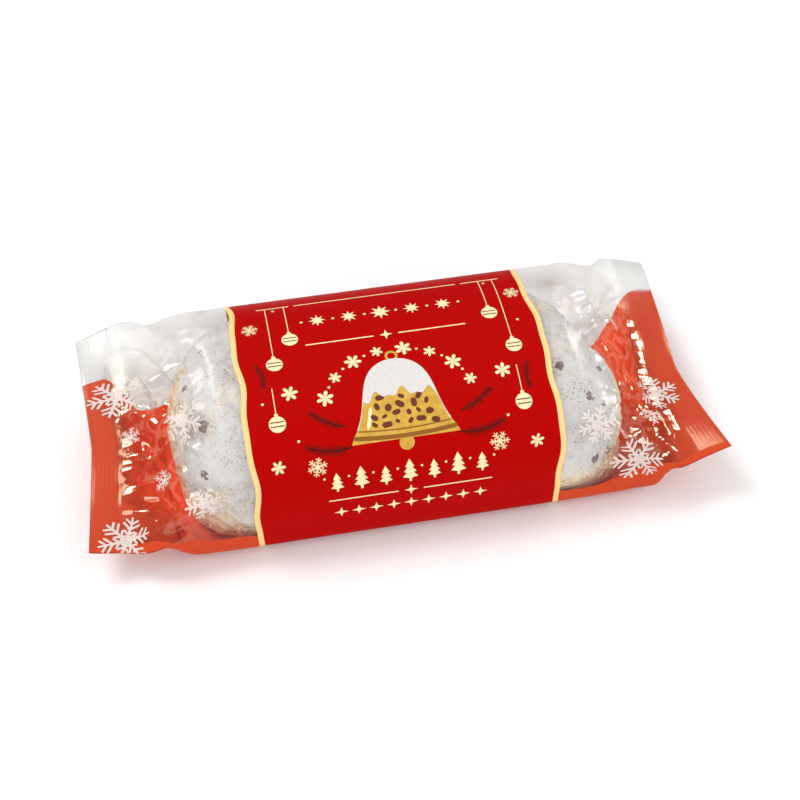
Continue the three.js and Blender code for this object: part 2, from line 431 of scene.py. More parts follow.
# film hardly stretches: every short length of the grid is pulled back to what it is on the flat film,
# and what is too much buckles into folds over the loaf and towards the seals
def settle(points, target, free, cling, lengths, bend, turns):
    rows, cols = points.shape[:2]
    over = overBase(cols)
    weight = free[..., None]

    def pull(a, b, rest, share=1.0):
        way = points[b] - points[a]
        far = np.sqrt((way * way).sum(-1, keepdims=True))
        step = way * ((far - rest) / (far * (weight[a] + weight[b]) + 1e-9) * share)
        points[a] += weight[a] * step
        points[b] -= weight[b] * step

    whole, place = slice(None), np.arange(cols)
    pairs = [(slice(first, rows - 1, 2), slice(first + 1, rows, 2)) for first in (0, 1)]
    for _ in range(turns):
        for first, (a, b) in enumerate(pairs):
            pull((a, whole), (b, whole), lengths["along"])
            some = place[first::2]
            pull((whole, some), (whole, (some + 1) % cols), lengths["round"][:, None, None])
        for shift in (1, -1):
            for a, b in pairs:
                pull((a, place), (b, (place + shift) % cols), lengths["slant"][a][:, None, None], 0.8)
        straight = (np.roll(points, 1, 1) + np.roll(points, -1, 1)) / 2 - points
        straight[1:-1] += (points[:-2] + points[2:]) / 2 - points[1:-1]
        points += bend * straight * weight
        points += cling[..., None] * (target - points) * weight
        keepOff(points, over, 0.3, weight > 0)
    return points


# a grid twice as fine along one axis, its new rows on smooth curves through the old ones
def halve(values, axis, closed):
    values = np.moveaxis(values, axis, 0)
    if closed:
        before, after, later = (np.roll(values, k, 0) for k in (1, -1, -2))
        middle = (-before + 9 * values + 9 * after - later) / 16
        out = np.empty((2 * len(values),) + values.shape[1:])
    else:
        padded = np.concatenate([2 * values[:1] - values[1:2], values, 2 * values[-1:] - values[-2:-1]])
        middle = (-padded[:-3] + 9 * padded[1:-2] + 9 * padded[2:-1] - padded[3:]) / 16
        out = np.empty((2 * len(values) - 1,) + values.shape[1:])
    out[::2], out[1::2] = values, middle
    return np.moveaxis(out, 0, axis)


def relaxFilm():
    rng = np.random.default_rng(film["seed"])
    points = None
    rows, cols = film["rows"], film["cols"]
    for settings in filmPasses:
        u = np.linspace(-wrap["halfLength"], wrap["halfLength"], rows + 1)
        uu, qq = np.meshgrid(u, placesRound(cols), indexing="ij")
        target = wrapPoint(uu, qq)
        points = target.copy() if points is None else halve(halve(points, 0, False), 1, True)
        out = np.abs(uu)
        free = np.where(out >= sealStart - 0.01, 0.0, 1.0)
        loose = np.clip((out - film["tight"]) / (film["loose"] - film["tight"]), 0, 1)
        shake = ripples(uu, qq, rng, settings["fine"], settings["finest"])
        shake = shake * settings["shake"] * loose * free
        points += shake[..., None] * np.stack([0 * qq, np.sin(qq * np.pi), np.cos(qq * np.pi)], -1)
        points = np.where(free[..., None] == 0, target, points)
        along = u[1] - u[0]
        narrow = np.clip((np.abs(u) - film["narrowFrom"]) / film["narrowOver"], 0, 1)
        around = filmRound / cols * mix(1, film["narrow"], narrow)
        lengths = {"along": along, "round": around, "slant": np.hypot(along, around)}
        cling = mix(*film["clings"], loose ** 0.5)
        points = settle(points, target, free, cling, lengths, settings["bend"], settings["turns"])
        rows, cols = rows * 2, cols * 2
    # tight all along the far side and at the near foot
    tight = smooth((qq - 0.06) / 0.12) * smooth((0.64 - qq) / 0.06)
    tight = np.maximum(tight, smooth((qq + 0.72) / 0.06) * smooth((-0.4 - qq) / 0.06))
    return u, mix(points, target, (film["tightness"] * tight)[..., None])


# creases of crumpled film: straight ridges that cross in flat facets, in patches where the film is loose
def creaseHeight(u, w):
    rng = np.random.default_rng(creases["seed"])
    place = np.stack([u, w, 0 * u], -1)
    total = np.zeros_like(u)
    for k in range(creases["count"]):
        angle = rng.uniform(0, np.pi)
        spacing = rng.uniform(*creases["spacing"])
        at = (u * np.cos(angle) + w * np.sin(angle)) / spacing + 0.12 * lumps(place, 30, 60 + k, 1)
        at = at + rng.uniform()
        ridge = 2 * np.abs(at - np.round(at))
        total += (ridge - 0.5) * spacing * creases["steep"] * smooth(lumps(place, 38, 90 + k, 1) + 0.2)
    # short puckers run into the seals
    at = w / creases["sealSpacing"] + 0.8 * lumps(place, 16, 44, 2)
    pucker = (2 * np.abs(at - np.round(at)) - 0.5) * creases["sealSpacing"] * creases["sealSteep"]
    pucker *= smooth(1 - (sealStart - np.abs(u)) / creases["sealReach"])
    total += pucker * smooth(lumps(place, 20, 45, 2) + 0.6)
    # the film is tight along both sides, and held flat by the fin seal underneath
    q = np.abs(w) / filmRound * 2
    side = 1 - 0.85 * np.exp(-((q - 0.5) / 0.08) ** 2)
    total *= mix(1.0, 0.1, smooth((w - 10) / 12) * (q < 0.62)) * side
    total *= np.where(w < 0, 1 - 0.95 * smooth((q - 0.38) / 0.06) * smooth((0.74 - q) / 0.06), 1)
    for (fromU, fromW), (toU, toW), height, half in folds:
        way = np.array([toU - fromU, toW - fromW], float)
        along = ((u - fromU) * way[0] + (w - fromW) * way[1]) / (way @ way)
        off = np.abs((u - fromU) * way[1] - (w - fromW) * way[0]) / np.linalg.norm(way)
        shown = smooth((along + 0.12) / 0.2) * smooth((1.12 - along) / 0.2)
        total += height * shown * np.maximum(1 - off / half, 0)
    loose = smooth((np.abs(u) - 55) / 11) * smooth((sealStart - np.abs(u)) / 2.5)
    return total * loose * smooth((1 - q) / 0.06)


def crumple(u, points):
    cols = points.shape[1]
    uu, ww = np.meshgrid(u, placesRound(cols) * filmRound / 2, indexing="ij")
    made = points + ringNormals(points) * creaseHeight(uu, ww)[..., None]
    keepOff(made, overBase(cols), 0.5)
    return made


# rounds off the bend where the film runs into the flat seals
def softenBend(u, points):
    near = smooth(1 - np.abs(np.abs(u) - sealStart) / 9)[:, None, None]
    total = np.zeros_like(points)
    shifts = np.linspace(-4.5, 4.5, 13)
    for shift in shifts:
        at = np.interp(u + shift, u, np.arange(len(u)))
        first = np.minimum(at.astype(int), len(u) - 2)
        part = (at - first)[:, None, None]
        total += mix(points[first], points[first + 1], part) / len(shifts)
    return mix(points, total, near)


# the flat place (0 to 1 along and round) of every corner, for the print
def addFlatMap(obj, u, cols):
    mapping = obj.data.uv_layers.new(name="flat")
    loops = np.empty(len(obj.data.loops), np.int32)
    obj.data.loops.foreach_get("vertex_index", loops)
    row, col = loops // cols, loops % cols
    across = col / cols
    # the faces that close the ring end at 1, not at 0
    face = np.repeat(np.arange(len(obj.data.polygons)), 4)
    closing = (np.maximum.reduceat(col, np.arange(0, len(col), 4)) == cols - 1)[face]
    across = np.where(closing & (col == 0), 1.0, across)
    along = u[row] / (2 * wrap["halfLength"]) + 0.5
    mapping.data.foreach_set("uv", np.stack([along, across], -1).astype(np.float32).reshape(-1))


def addFilm(material):
    u, points = relaxFilm()
    cols = points.shape[1]
    points = crumple(u, points)
    keep = np.abs(u) < sealStart - 0.2
    q = placesRound(cols)
    # the crimped ends, cut finely enough for their ribs
    steps = np.arange(0, wrap["crimp"] + 0.001, film["ribPitch"] / film["ribRows"])
    ends = {}
    for side in (-1, 1):
        deep, qq = np.meshgrid(steps, q, indexing="ij")
        ends[side] = sealPoint(side, qq, deep, 0.12)
        ends[side][0] = sealPoint(side, q, np.zeros(cols), 0)  # both layers meet at the cut end
    uAll = np.concatenate([steps - wrap["halfLength"], u[keep], wrap["halfLength"] - steps[::-1]])
    allPoints = softenBend(uAll, np.concatenate([ends[-1], points[keep], ends[1][::-1]]))
    deep = wrap["halfLength"] - np.abs(uAll)
    rib = film["ribHeight"] * np.cos(2 * np.pi * deep / film["ribPitch"]) * (deep > 0)
    allPoints[..., 2] += (rib * smooth((wrap["crimp"] - deep) / 1.5))[:, None]
    obj = newObject("film", toFrame(allPoints), ringFaces(len(uAll), cols), material)
    addFlatMap(obj, uAll, cols)
    # the two layers meet at the cut ends
    work = bmesh.new()
    work.from_mesh(obj.data)
    work.verts.ensure_lookup_table()
    tips = [work.verts[k] for k in (*range(cols), *range((len(uAll) - 1) * cols, len(uAll) * cols))]
    bmesh.ops.remove_doubles(work, verts=tips, dist=0.001 * mm)
    work.to_mesh(obj.data)
    work.free()
    return obj, addFin(uAll, allPoints, finMaterial())


# nodes are added to the tree that newMaterial or newTree made last
latest = {}


def addNode(kind, inputs=None, **settings):
    tree = latest["tree"]
    made = tree.nodes.new(kind)
    for name, value in settings.items():
        setattr(made, name, value)
    for name, value in (inputs or {}).items():
        if isinstance(value, bpy.types.NodeSocket):
            tree.links.new(value, made.inputs[name])
        else:
            made.inputs[name].default_value = value
    return made


def calc(operation, a, b=0.0, c=0.0):
    return addNode("ShaderNodeMath", {0: a, 1: b, 2: c}, operation=operation).outputs[0]


# value * by + start
def scaled(value, by, start):
    return calc("MULTIPLY_ADD", value, by, start)


def times(first, *others):
    for other in others:
        first = calc("MULTIPLY", first, other)
    return first


def plus(first, *others):
    for other in others:
        first = calc("ADD", first, other)
    return first


# from 0 at low to top at high
def ramp(value, low, high, top=1.0, kind="LINEAR"):
    made = addNode("ShaderNodeMapRange", {
        "Value": value, "From Min": low, "From Max": high, "To Max": top}, interpolation_type=kind)
    return made.outputs["Result"]


# 1 where value is over the edge, with a soft step as wide as blur
def above(value, edge, blur=0.1):
    return ramp(calc("SUBTRACT", value, edge), -blur / 2, blur / 2)


# a sine wave of the given height, its pace in radians
def wave(value, pace, start, height):
    return times(calc("SINE", scaled(value, pace, start)), height)


def blend(amount, a, b):
    a, b = (value if isinstance(value, bpy.types.NodeSocket) else (*value, 1) for value in (a, b))
    return addNode("ShaderNodeMix", {"Factor": amount, 6: a, 7: b}, data_type="RGBA").outputs[2]


def cloud(place, size, detail=3.0, rough=0.55, low=0.0, high=1.0):
    made = addNode("ShaderNodeTexNoise", {
        "Vector": place, "Scale": 1 / (size * mm), "Detail": detail, "Roughness": rough})
    return ramp(made.outputs["Fac"], low, high)


def objectPlace():
    return addNode("ShaderNodeTexCoord").outputs["Object"]


def relief(height, strength, distance):
    return addNode("ShaderNodeBump", {
        "Height": height, "Strength": strength, "Distance": distance * mm}).outputs[0]


def principled(colour, rough, shine=0.5, others=None):
    return addNode("ShaderNodeBsdfPrincipled", {
        "Base Color": colour, "Roughness": rough, "Specular IOR Level": shine, **(others or {})}).outputs[0]


def mixShaders(amount, a, b):
    return addNode("ShaderNodeMixShader", {0: amount, 1: a, 2: b}).outputs[0]


def newMaterial(name):
    material = bpy.data.materials.new(name)
    material.use_nodes = True
    latest["tree"] = material.node_tree
    material.node_tree.nodes.clear()
    return material


def endMaterial(material, surface):
    addNode("ShaderNodeOutputMaterial", {"Surface": surface})
    return material


# starts a geometry tree with its inputs, each with its kind of socket
def newTree(name, inputs):
    tree = bpy.data.node_groups.new(name, "GeometryNodeTree")
    for title, kind in inputs.items():
        tree.interface.new_socket(title, in_out="INPUT", socket_type="NodeSocket" + kind)
    tree.interface.new_socket("Geometry", in_out="OUTPUT", socket_type="NodeSocketGeometry")
    latest["tree"] = tree
    return addNode("NodeGroupInput").outputs


def endTree(geometry, material):
    made = addNode("GeometryNodeSetMaterial", {"Geometry": geometry, "Material": material})
    addNode("NodeGroupOutput", {0: made.outputs[0]})
    return latest["tree"]


def attribute(name, kind="FLOAT"):
    return addNode("GeometryNodeInputNamedAttribute", {"Name": name}, data_type=kind).outputs[0]


def shapeOf(obj):
    return addNode("GeometryNodeObjectInfo", {"Object": obj}).outputs["Geometry"]


# a real copy of an object on each point
def scatter(points, obj, turn, size):
    placed = addNode("GeometryNodeInstanceOnPoints", {
        "Points": points, "Instance": shapeOf(obj), "Rotation": turn, "Scale": size})
    return addNode("GeometryNodeRealizeInstances", {"Geometry": placed.outputs[0]}).outputs[0]


# icing sugar over a baked crust
crust = {
    "sugar": (0.70, 0.685, 0.665), "sugarShade": (0.61, 0.597, 0.575), "cream": (1.0, 0.82, 0.53),
    "thin": (0.97, 0.79, 0.53), "baked": (0.60, 0.38, 0.19), "dark": (0.14, 0.08, 0.045),
    "patchSize": 8.0, "speckSize": 1.5, "dotSize": 0.75, "grainSize": 0.6,
}


def crustMaterial():
    material = newMaterial("sugaredCrust")
    place = objectPlace()
    sugar = addNode("ShaderNodeAttribute", attribute_name="sugar").outputs["Fac"]
    patch = cloud(place, crust["patchSize"], 4, 0.6, 0.3, 0.7)
    speck = cloud(place, crust["speckSize"], 3, 0.7, 0.28, 0.72)
    dots = cloud(place, crust["dotSize"], 2, 0.6, 0.3, 0.72)
    grain = cloud(place, crust["grainSize"], 2, 0.6, 0.25, 0.75)
    # where the holes in the sugar are deeper than the sugar is thick, the crust shows
    holes = scaled(speck, 0.55, times(patch, 0.45))
    thick = scaled(sugar, 0.56, 0.40)
    white = ramp(calc("SUBTRACT", thick, holes), -0.10, 0.22)
    crumb = blend(dots, crust["thin"], crust["baked"])
    icing = blend(patch, crust["sugar"], crust["sugarShade"])
    icing = blend(ramp(sugar, 0.2, 0.85), crust["cream"], icing)
    colour = blend(white, crumb, icing)
    # small dark dots, in the thinner patches only
    dotted = times(above(dots, 0.74, 0.16), above(patch, 0.5, 0.5), 0.6)
    colour = blend(dotted, colour, crust["dark"])
    height = scaled(grain, 0.5, times(white, 0.6))
    skin = principled(colour, 0.88, 0.18, {
        "Normal": relief(height, 0.55, 0.35), "Subsurface Weight": 0.12,
        "Subsurface Radius": (1.0, 0.7, 0.5), "Subsurface Scale": 0.0012})
    return endMaterial(material, skin)


# the film and the fields of colour printed on it
printed = {
    "left": -46.8, "right": 43.1,  # edges of the band round the middle
    "border": 1.7, "sway": 1.2, "wave": 0.55,
    "foot": 62.5, "panel": 88.0,  # edges of the panel under the pack, low on the near and the far side
    "panelWave": 31.0, "panelRipple": 13.0,  # lengths of the waves of its edges
    "dip": (80.0, 104.0, -14.0), "rise": (58.0, 84.0, 10.0),  # from and to where, and by how much
    "red": (0.43, 0.002, 0.0015), "gold": (0.92, 0.62, 0.27),
    "panelRed": (0.60, 0.066, 0.024), "liftedInsideRed": (0.88, 0.080, 0.026),  # outside, and inside the pack, where it is painted brighter to lift the shade under the film
    "haze": 0.012, "hazeColor": (0.84, 0.83, 0.81),
    "sealHaze": 0.3, "paintedBackSheen": 0.30,  # more of it where the seals are clear, and behind the loaf as a painted sheen
    "smoke": (0.94, 0.938, 0.93), "sealSmoke": (0.82, 0.81, 0.795),  # clear film behind the loaf, seals
    "gloss": 0.06, "shine": 0.10, "edgeGloss": 0.22, "dullShine": 0.34,
    "backGloss": (0.6, 0.6, 0.6),
    "glint": (1.0, 0.87, 0.60),  # what the warm end panels make of the gloss
    "creaseSize": 2.2, "ribRelief": 0.14,
    # where each of them is none and where it is whole, in millimetres along the film
    "sealed": (93.0, 95.0), "insideEnd": (94.5, 93.5), "backEnd": (94.0, 92.0),
    "ribsStart": (80.0, 91.0), "ribsEnd": (96.0, 93.0),
    "freeStart": (62.0, 76.0), "freeEnd": (110.0, 92.0), "warmStart": (64.0, 74.0),
    # and in millimetres round it
    "insideSide": (74.0, 90.0), "sealMiddle": 59.0, "sealSide": (26.0, 24.0), "backSide": (26.0, 50.0),
    "smokeSide": (44.0, 56.0), "freeSide": (28.0, 14.0), "warmSide": (34.0, 24.0),
    "backGlossSide": (26.0, 40.0),
}


# the prints on the film at u millimetres along it and w round it, turn being the same as an angle:
# how much ink there is, how much of it belongs to the band, and its colour
def printedFields(u, w, turn):
    p = printed
    ripple = plus(wave(turn, 7.0, 0.6, p["wave"]), wave(turn, 13.0, 2.1, 0.4 * p["wave"]))
    left = plus(ripple, p["left"])
    ripple = plus(wave(turn, 6.0, 1.9, p["wave"]), wave(turn, 14.0, 0.4, 0.35 * p["wave"]))
    right = plus(ripple, plus(wave(turn, 1.0, 2.08, -p["sway"]), p["right"] + p["sway"]))
    inside = times(above(u, left), above(right, u))
    widely = times(above(u, calc("SUBTRACT", left, p["border"])), above(plus(right, p["border"]), u))
    # the panel under the pack: its far edge dips towards the right end, its near edge rises at both ends
    pace, finePace = 2 * math.pi / p["panelWave"], 2 * math.pi / p["panelRipple"]
    dip = ramp(u, *p["dip"], "SMOOTHSTEP")
    bend = times(wave(u, pace, 19.0, 3.0), above(0.0, u, 40.0))
    farEdge = plus(bend, wave(u, finePace, 1.0, 0.5), plus(dip, p["panel"]))
    far, aside = (calc("ABSOLUTE", value) for value in (u, w))
    rise = ramp(far, *p["rise"], "SMOOTHSTEP")
    nearEdge = plus(wave(u, pace, 0.5, 0.8), rise, -p["foot"])
    under = calc("MAXIMUM", above(w, farEdge), above(nearEdge, w))
    # painted light: inside the pack the panel is painted brighter than outside, lifting the shade it lies
    # in
    insideLift = times(ramp(aside, *p["insideSide"]), ramp(far, *p["insideEnd"]))
    colour = blend(insideLift, p["panelRed"], p["liftedInsideRed"])
    colour = blend(widely, colour, p["gold"])
    return calc("MAXIMUM", widely, under), widely, blend(inside, colour, p["red"])


def filmMaterial():
    p = printed
    material = newMaterial("printedFilm")
    flat = addNode("ShaderNodeUVMap", uv_map="flat").outputs["UV"]
    apart = addNode("ShaderNodeSeparateXYZ", {0: flat})
    u = scaled(apart.outputs["X"], 2 * wrap["halfLength"], -wrap["halfLength"])
    w = scaled(apart.outputs["Y"], filmRound, -filmRound / 2)
    ink, band, colour = printedFields(u, w, times(apart.outputs["Y"], 2 * math.pi))
    far = calc("ABSOLUTE", u)
    # fine creases, finest along the pack, that break the gloss up into streaks
    stretched = addNode("ShaderNodeMapping", {"Vector": objectPlace(), "Scale": (0.5, 1.0, 1.0)})
    fine = cloud(stretched.outputs[0], p["creaseSize"], 3, 0.6)
    # the ribs of the seals run out into the film beside them
    ribs = wave(u, 2 * math.pi / film["ribPitch"], 0.0, 1.0)
    ribs = times(ribs, ramp(far, *p["ribsStart"]), ramp(far, *p["ribsEnd"]))
    bump = relief(scaled(ribs, p["ribRelief"], fine), 0.25, 0.3)
    inked = principled(colour, scaled(band, 0.2, 0.25), 0.015, {
        "Normal": bump, "Specular Tint": (*p["glint"], 1)})
    # the two layers of the seals are milky where they are clear; behind the loaf the film is painted whiter
    # with the same haze, a painted sheen
    sealed = ramp(far, *p["sealed"])
    aside = calc("ABSOLUTE", plus(w, -p["sealMiddle"]))
    haze = scaled(times(sealed, ramp(aside, *p["sealSide"])), p["sealHaze"], p["haze"])
    # painted sheen: diffuse white haze over the clear film on the far side, behind the loaf
    back = times(ramp(w, *p["backSide"]), ramp(far, *p["backEnd"]))
    haze = scaled(back, p["paintedBackSheen"], haze)
    smoke = blend(sealed, p["smoke"], p["sealSmoke"])
    bare = addNode("ShaderNodeBsdfTransparent", {
        "Color": blend(ramp(w, *p["smokeSide"]), (1, 1, 1), smoke)})
    milkAndSheen = addNode("ShaderNodeBsdfDiffuse", {"Color": (*p["hazeColor"], 1), "Normal": bump})
    sheet = mixShaders(haze, bare.outputs[0], milkAndSheen.outputs[0])
    # over the loaf and behind it the gloss is weak and soft
    edge = addNode("ShaderNodeLayerWeight", {"Blend": 0.22, "Normal": bump}).outputs["Fresnel"]
    free = times(ramp(far, *p["freeStart"]), ramp(far, *p["freeEnd"]), ramp(w, *p["freeSide"]))
    shine = scaled(edge, p["edgeGloss"], scaled(free, p["gloss"], 0.02))
    dull = scaled(free, p["shine"] - p["dullShine"], p["dullShine"])
    warm = times(ramp(w, *p["warmSide"]), ramp(far, *p["warmStart"]))
    tint = blend(ramp(w, *p["backGlossSide"]), (1, 1, 1), p["backGloss"])
    glossy = addNode("ShaderNodeBsdfGlossy", {
        "Color": blend(warm, tint, p["glint"]), "Roughness": dull, "Normal": bump})
    clear = mixShaders(shine, sheet, glossy.outputs[0])
    return endMaterial(material, mixShaders(ink, clear, inked))


# the fin seal is the lengthwise seam under the pack, folded flat
fin = {"width": 9.0, "close": 0.05, "thick": 0.15, "ribPitch": 1.3, "ribHeight": 0.03, "reach": 105.0}


def finMaterial():
    material = newMaterial("finSeal")
    place = objectPlace()
    worn = cloud(place, 5, 3, 0.6, 0.3, 0.7)
    colour = blend(worn, printed["panelRed"], tuple(0.85 * c for c in printed["panelRed"]))
    bump = relief(cloud(place, 1.5, 2), 0.2, 0.2)
    return endMaterial(material, principled(colour, 0.3, 0.3, {"Normal": bump}))


# a thin strip that follows the film's underside from the middle of the base to the near side
def addFin(u, points, material):
    count = int(round(fin["width"] / filmRound * points.shape[1])) + 1
    at = np.arange(-fin["reach"], fin["reach"] + 0.01, fin["ribPitch"] / 5)
    place = np.interp(at, u, np.arange(len(u)))
    first = place.astype(int)
    part = (place - first)[:, None, None]
    base, out = (mix(a[first, :count], a[first + 1, :count], part) for a in (points, ringNormals(points)))
    rib = fin["ribHeight"] * (1 + np.cos(2 * np.pi * at / fin["ribPitch"]))[:, None, None]
    upper = base + out * (fin["close"] + rib)
    lower = base + out * (fin["close"] + rib + fin["thick"])
    ring = np.concatenate([lower, upper[:, ::-1]], 1)
    ring[..., 2] = np.maximum(ring[..., 2], 0.02)
    rows, cols = ring.shape[:2]
    faces = list(ringFaces(rows, cols))
    for row, step in ((0, 1), (rows - 1, -1)):
        loop = [row * cols + k for k in range(cols)]
        faces += [(loop[k], loop[k + 1], loop[-2 - k], loop[-1 - k])[::step] for k in range(count - 1)]
    return newObject("finSeal", toFrame(ring), faces, material, False)


# the print is flat motifs drawn in film millimetres (u along, w round the pack) and laid on the film
inks = {
    # the second white ink is a lighter, thinner copy of white, painted light for flakes that lie in shade
    "cream": (0.96, 0.80, 0.47), "white": (0.86, 0.76, 0.70), "faint": (0.9, 0.78, 0.74),
    "snow": (0.74, 0.70, 0.67), "lip": (0.28, 0.11, 0.02), "twig": (0.085, 0.008, 0.006),
    "bell": (0.72, 0.47, 0.085), "bellShade": (0.52, 0.27, 0.035), "berry": (0.15, 0.04, 0.025),
    "cover": {"white": 0.8, "faint": 0.35},  # how much thin ink hides
    "lift": 0.06, "step": 1.1,  # height over the film, longest side of a printed cell
}


def gridFaces(rows, n):
    return [(r * n + i, r * n + i + 1, (r + 1) * n + i + 1, (r + 1) * n + i)
            for r in range(rows) for i in range(n - 1)]


# a line with round ends along a path; width is one number or one for each point of the path
def stroke(path, width, lift=0.0):
    path = np.array(path, float)
    along = np.concatenate([[0], np.cumsum(np.linalg.norm(np.diff(path, axis=0), axis=1))])
    width = np.broadcast_to(np.array(width, float), along.shape)
    count = max(2, int(np.ceil(along[-1] / inks["step"])) + 1)
    at = np.linspace(0, along[-1], count)
    line = np.stack([np.interp(at, along, path[:, k]) for k in (0, 1)], -1)
    half = np.interp(at, along, width)[:, None] / 2
    way = np.gradient(line, axis=0)
    way /= np.linalg.norm(way, axis=1, keepdims=True)
    aside = np.stack([-way[:, 1], way[:, 0]], -1)
    start, end = line[:1] - way[:1] * half[:1] * 0.8, line[-1:] + way[-1:] * half[-1:] * 0.8
    line = np.concatenate([start, line, end])
    half = np.concatenate([half[:1] * 0.45, half, half[-1:] * 0.45])
    aside = np.concatenate([aside[:1], aside, aside[-1:]])
    flat = np.concatenate([line - aside * half, line + aside * half])
    return np.column_stack([flat, np.full(len(flat), lift)]), gridFaces(1, len(line))


# a filled shape round a middle; reach gives the outline's distance at each angle
def disc(middle, reach, spokes=16, lift=0.0):
    angle = np.arange(spokes) * 2 * np.pi / spokes
    far = reach(angle) if callable(reach) else np.full(spokes, float(reach))
    rings = max(1, int(np.ceil(far.max() / (1.3 * inks["step"]))))
    verts = [(*middle, lift)]
    faces = []
    for ring in range(1, rings + 1):
        out = far * ring / rings
        verts += [(middle[0] + r * math.cos(a), middle[1] + r * math.sin(a), lift)
                  for r, a in zip(out, angle)]
        first = 1 + (ring - 1) * spokes
        for k in range(spokes):
            nextK = (k + 1) % spokes
            if ring == 1:
                faces.append((0, first + k, first + nextK))
            else:
                faces.append((first - spokes + k, first + k, first + nextK, first - spokes + nextK))
    return np.array(verts, float), faces


# a filled shape between two curves over the same width
def patch(xs, low, high, lift=0.0):
    rows = max(1, int(np.ceil((high - low).max() / inks["step"])))
    verts = [(x, mix(a, b, r / rows), lift) for r in range(rows + 1) for x, a, b in zip(xs, low, high)]
    return np.array(verts, float), gridFaces(rows, len(xs))


def joined(shapes):
    verts, faces, first = [], [], 0
    for points, polygons in shapes:
        verts.append(points)
        faces += [tuple(first + k for k in polygon) for polygon in polygons]
        first += len(points)
    return np.concatenate(verts), faces


def moved(shape, x=0.0, y=0.0, size=1.0, turn=0.0):
    points, faces = shape
    c, s = math.cos(turn) * size, math.sin(turn) * size
    u, w, lift = points.T
    return np.column_stack([u * c - w * s + x, u * s + w * c + y, lift]), faces


def starReach(points, outer, inner):
    def reach(angle):
        k = np.round(angle / np.pi * points).astype(int)
        return np.where(k % 2 == 0, outer, inner)
    return reach


# six arms with side branches, 10 mm from the middle to a tip
def branchedFlake(branches, ring=0.0, width=1.05):
    shapes = []
    for arm in range(6):
        parts = [stroke([(0.6, 0), (10, 0)], [width * 1.1, width * 0.8], 0.003 * arm)]
        for place, length in branches:
            for side in (-1, 1):
                tip = (place + length * 0.62, side * length * 0.78)
                parts.append(stroke([(place, 0), tip], width * 0.85, 0.02 + 0.003 * arm))
        if ring:
            parts.append(stroke([(ring, -ring * 0.577), (ring, ring * 0.577)], width * 0.8, 0.04))
        shapes += [moved(part, turn=arm * math.pi / 3) for part in parts]
    return joined(shapes)


def petalFlake():
    arm = stroke([(2.2, 0), (5.0, 0), (8.2, 0)], [2.2, 4.3, 4.0])
    return joined([moved(arm, turn=k * math.pi / 3) for k in range(6)] + [disc((0, 0), 2.0, 8, 0.02)])


def firTree():
    trunk = patch(np.array([-0.45, 0.45]), np.zeros(2), np.full(2, 1.6))
    tiers = []
    for low, high, half in ((1.2, 4.6, 2.9), (3.2, 6.4, 2.3), (5.2, 8.4, 1.6)):
        xs = np.linspace(-half, half, 7)
        side = mix(high, low + 0.3, np.abs(xs) / half)
        tiers.append(patch(xs, np.full(7, low) + 0.25 * np.abs(xs), side, 0.002 * low))
    return joined(tiers + [trunk])


def bauble():
    cap = patch(np.array([-0.6, 0.6]), np.full(2, 2.5), np.full(2, 3.5))
    stripes = [stroke([(-2.2, y), (2.2, y)], 0.35, 0.05) for y in (-0.7, 0.7)]
    return joined([disc((0, 0), 2.7, 20), cap]), joined(stripes)


# a bell hung under snow, half as wide as bell["half"] at its lip
bell = {
    "half": 16.5, "high": 25.5, "low": -33.5, "snow": 0.57, "seed": 9,
    "lips": ((0.035, 1.3), (0.115, 0.4)),  # height and width of its lines
    "berries": ((0.19, 6), (0.3, 6), (0.41, 5), (0.51, 3)),  # height and number of each row
}


def bellHalf(t):
    t = np.clip(t, 0, 1)
    return bell["half"] * np.sqrt(1 - t ** 4) * (0.68 + 0.32 * (1 - t) ** 4)


def bellShapes():
    rng = np.random.default_rng(bell["seed"])
    high, low = bell["high"], bell["low"]
    ts = np.concatenate([np.linspace(0, 0.9, 20), [0.95, 0.98, 1.0]])
    across = np.linspace(-1, 1, 25)
    verts = [(a * h, low + high * t + 1.0 * (a * a) * (1 - t) * (t > 0), 0)
             for t, h in zip(ts, bellHalf(ts)) for a in across]
    body = (np.array(verts, float), gridFaces(len(ts) - 1, len(across)))
    # snow lies on the shoulders and hangs down in soft drips
    xs = np.linspace(-0.86, 0.86, 56) * bell["half"]
    heights = np.linspace(1, 0.05, 80)
    crown = np.interp(np.abs(xs), bellHalf(heights), heights) * high + low + 1.1
    drips = low + high * bell["snow"] + 1.1 * np.sin(xs * 0.8 + 0.7) + 0.7 * np.sin(xs * 1.5)
    drips -= 0.05 * np.abs(xs) ** 1.4
    snow = patch(xs, np.minimum(drips, crown - 0.8), crown, 0.09)
    # the lip, and a light along the near shoulder
    lip = []
    for t, width in bell["lips"]:
        line = [(a * bellHalf(t), low + high * t + 1.0 * a * a * (1 - t))
                for a in np.linspace(-0.97, 0.97, 21)]
        lip.append(stroke(line, width, 0.03))
    shoulder = [(-0.8 * bellHalf(t), low + high * t) for t in np.linspace(0.16, 0.42, 8)]
    light = stroke(shoulder, [0.3] + 6 * [1.1] + [0.3], 0.04)
    berries = []
    for row, count in bell["berries"]:
        for k in range(count):
            place = (k + 0.5) / count * 2 - 1
            x = place * 0.82 * bellHalf(row) + rng.uniform(-0.5, 0.5)
            size = rng.uniform(0.6, 1.35)
            long = rng.uniform(0.1, 0.35)
            turn = rng.uniform(0, np.pi)
            reach = lambda a: size * (1 + long * np.cos(2 * (a - turn)))
            berries.append(disc((x, low + high * row + rng.uniform(-0.6, 0.6)), reach, 10, 0.05))
    clapper = disc((0, low - 1.3), 2.3, 16)
    top = low + high + 2.2
    loop = stroke([(1.7 * math.sin(a), top - 1.7 * math.cos(a)) for a in np.linspace(0.4, 5.9, 12)], 0.8)
    return joined([body, clapper, loop]), snow, joined(berries), joined(lip), light


